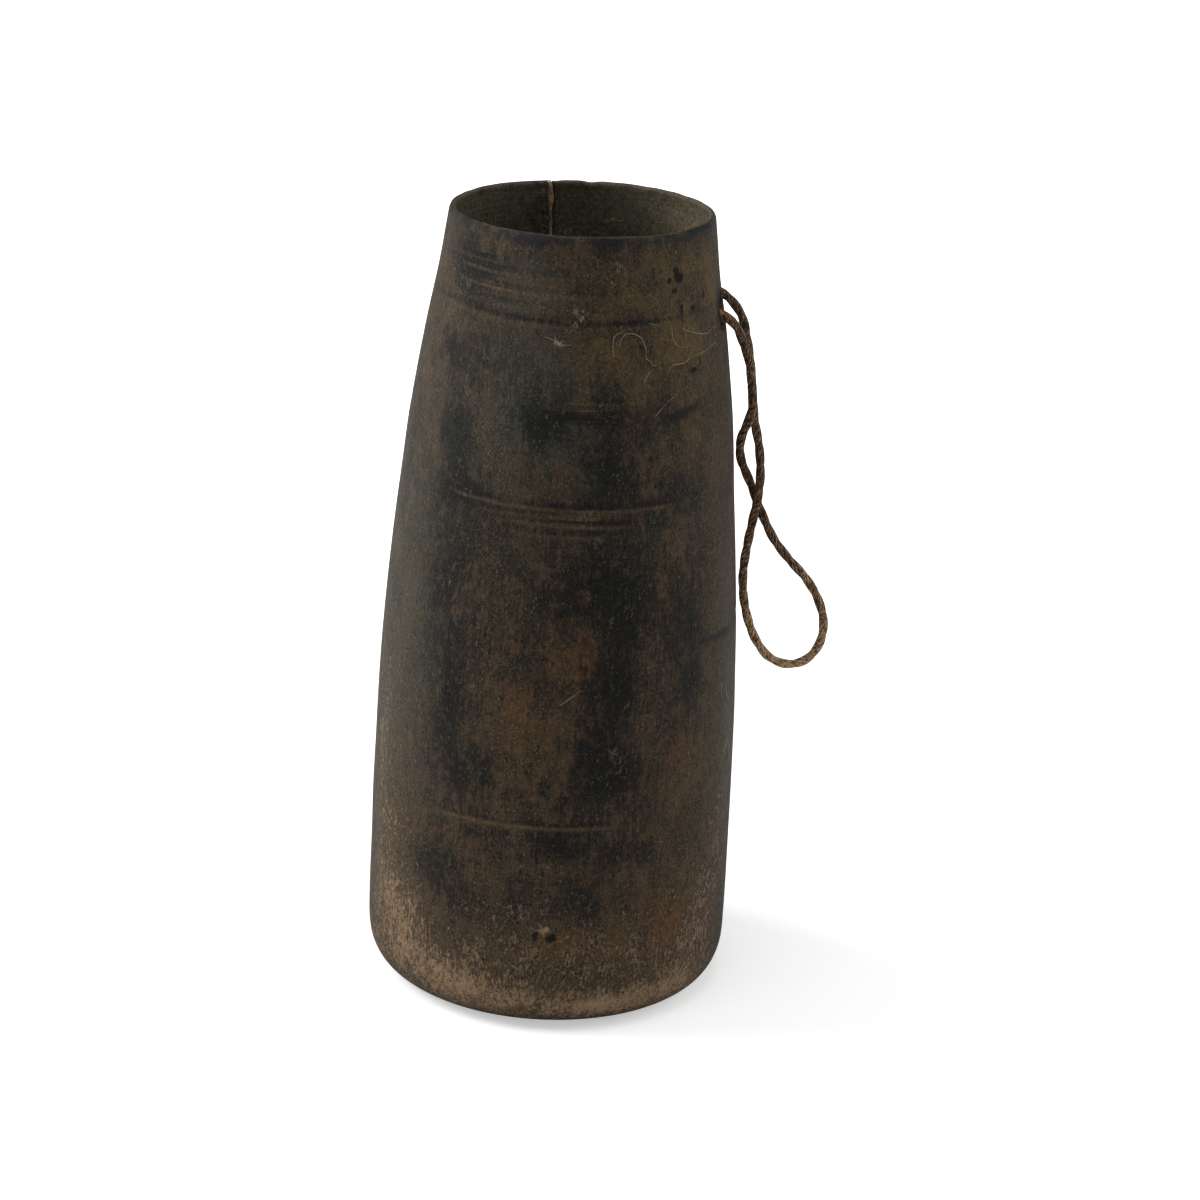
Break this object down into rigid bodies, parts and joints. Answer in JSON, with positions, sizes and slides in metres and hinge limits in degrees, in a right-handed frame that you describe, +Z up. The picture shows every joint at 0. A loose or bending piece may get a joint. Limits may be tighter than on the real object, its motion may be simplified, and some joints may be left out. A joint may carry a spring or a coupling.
{
  "type": "carved wooden pot",
  "caption": "Tall tapered carved wooden milk pot with a thin lip, a mended crack in the back wall and a plied cord loop that hangs from holes near the rim.",
  "frame": {"origin": "centre of the flat underside, on the surface that the pot stands on", "axes": "+Z up out of the mouth, +X towards the wall that the cord loop hangs on, -Y towards the camera of the picture; the mended crack is in the +Y wall"},
  "size_m": [0.2161, 0.175, 0.3818],
  "materials": {
    "old_wood": "hand-carved hardwood, dark with smoke and handling, satin, worn to tan at the foot",
    "pale_filler": "dried pale gum and fibre pressed into the crack, matt",
    "plant_fibre": "two-ply twisted plant fibre cord, dark brown, greasy with handling"
  },
  "bodies": {
    "pot": {"pot_body": "old_wood", "crack_filler": "pale_filler", "front_cord_lead": "plant_fibre", "rear_cord_lead": "plant_fibre", "front_stopper_knot": "plant_fibre", "rear_stopper_knot": "plant_fibre"},
    "hanging_loop": {"hanging_cord": "plant_fibre"}
  },
  "joints": [
    {"name": "loop_lift", "type": "hinge", "parent": "pot", "child": "hanging_loop", "pos_m": [0.07238, -0.01056, 0.3334], "axis": [0.0048, -0.9908, -0.1352], "range_deg": [0, 145]}
  ]
}
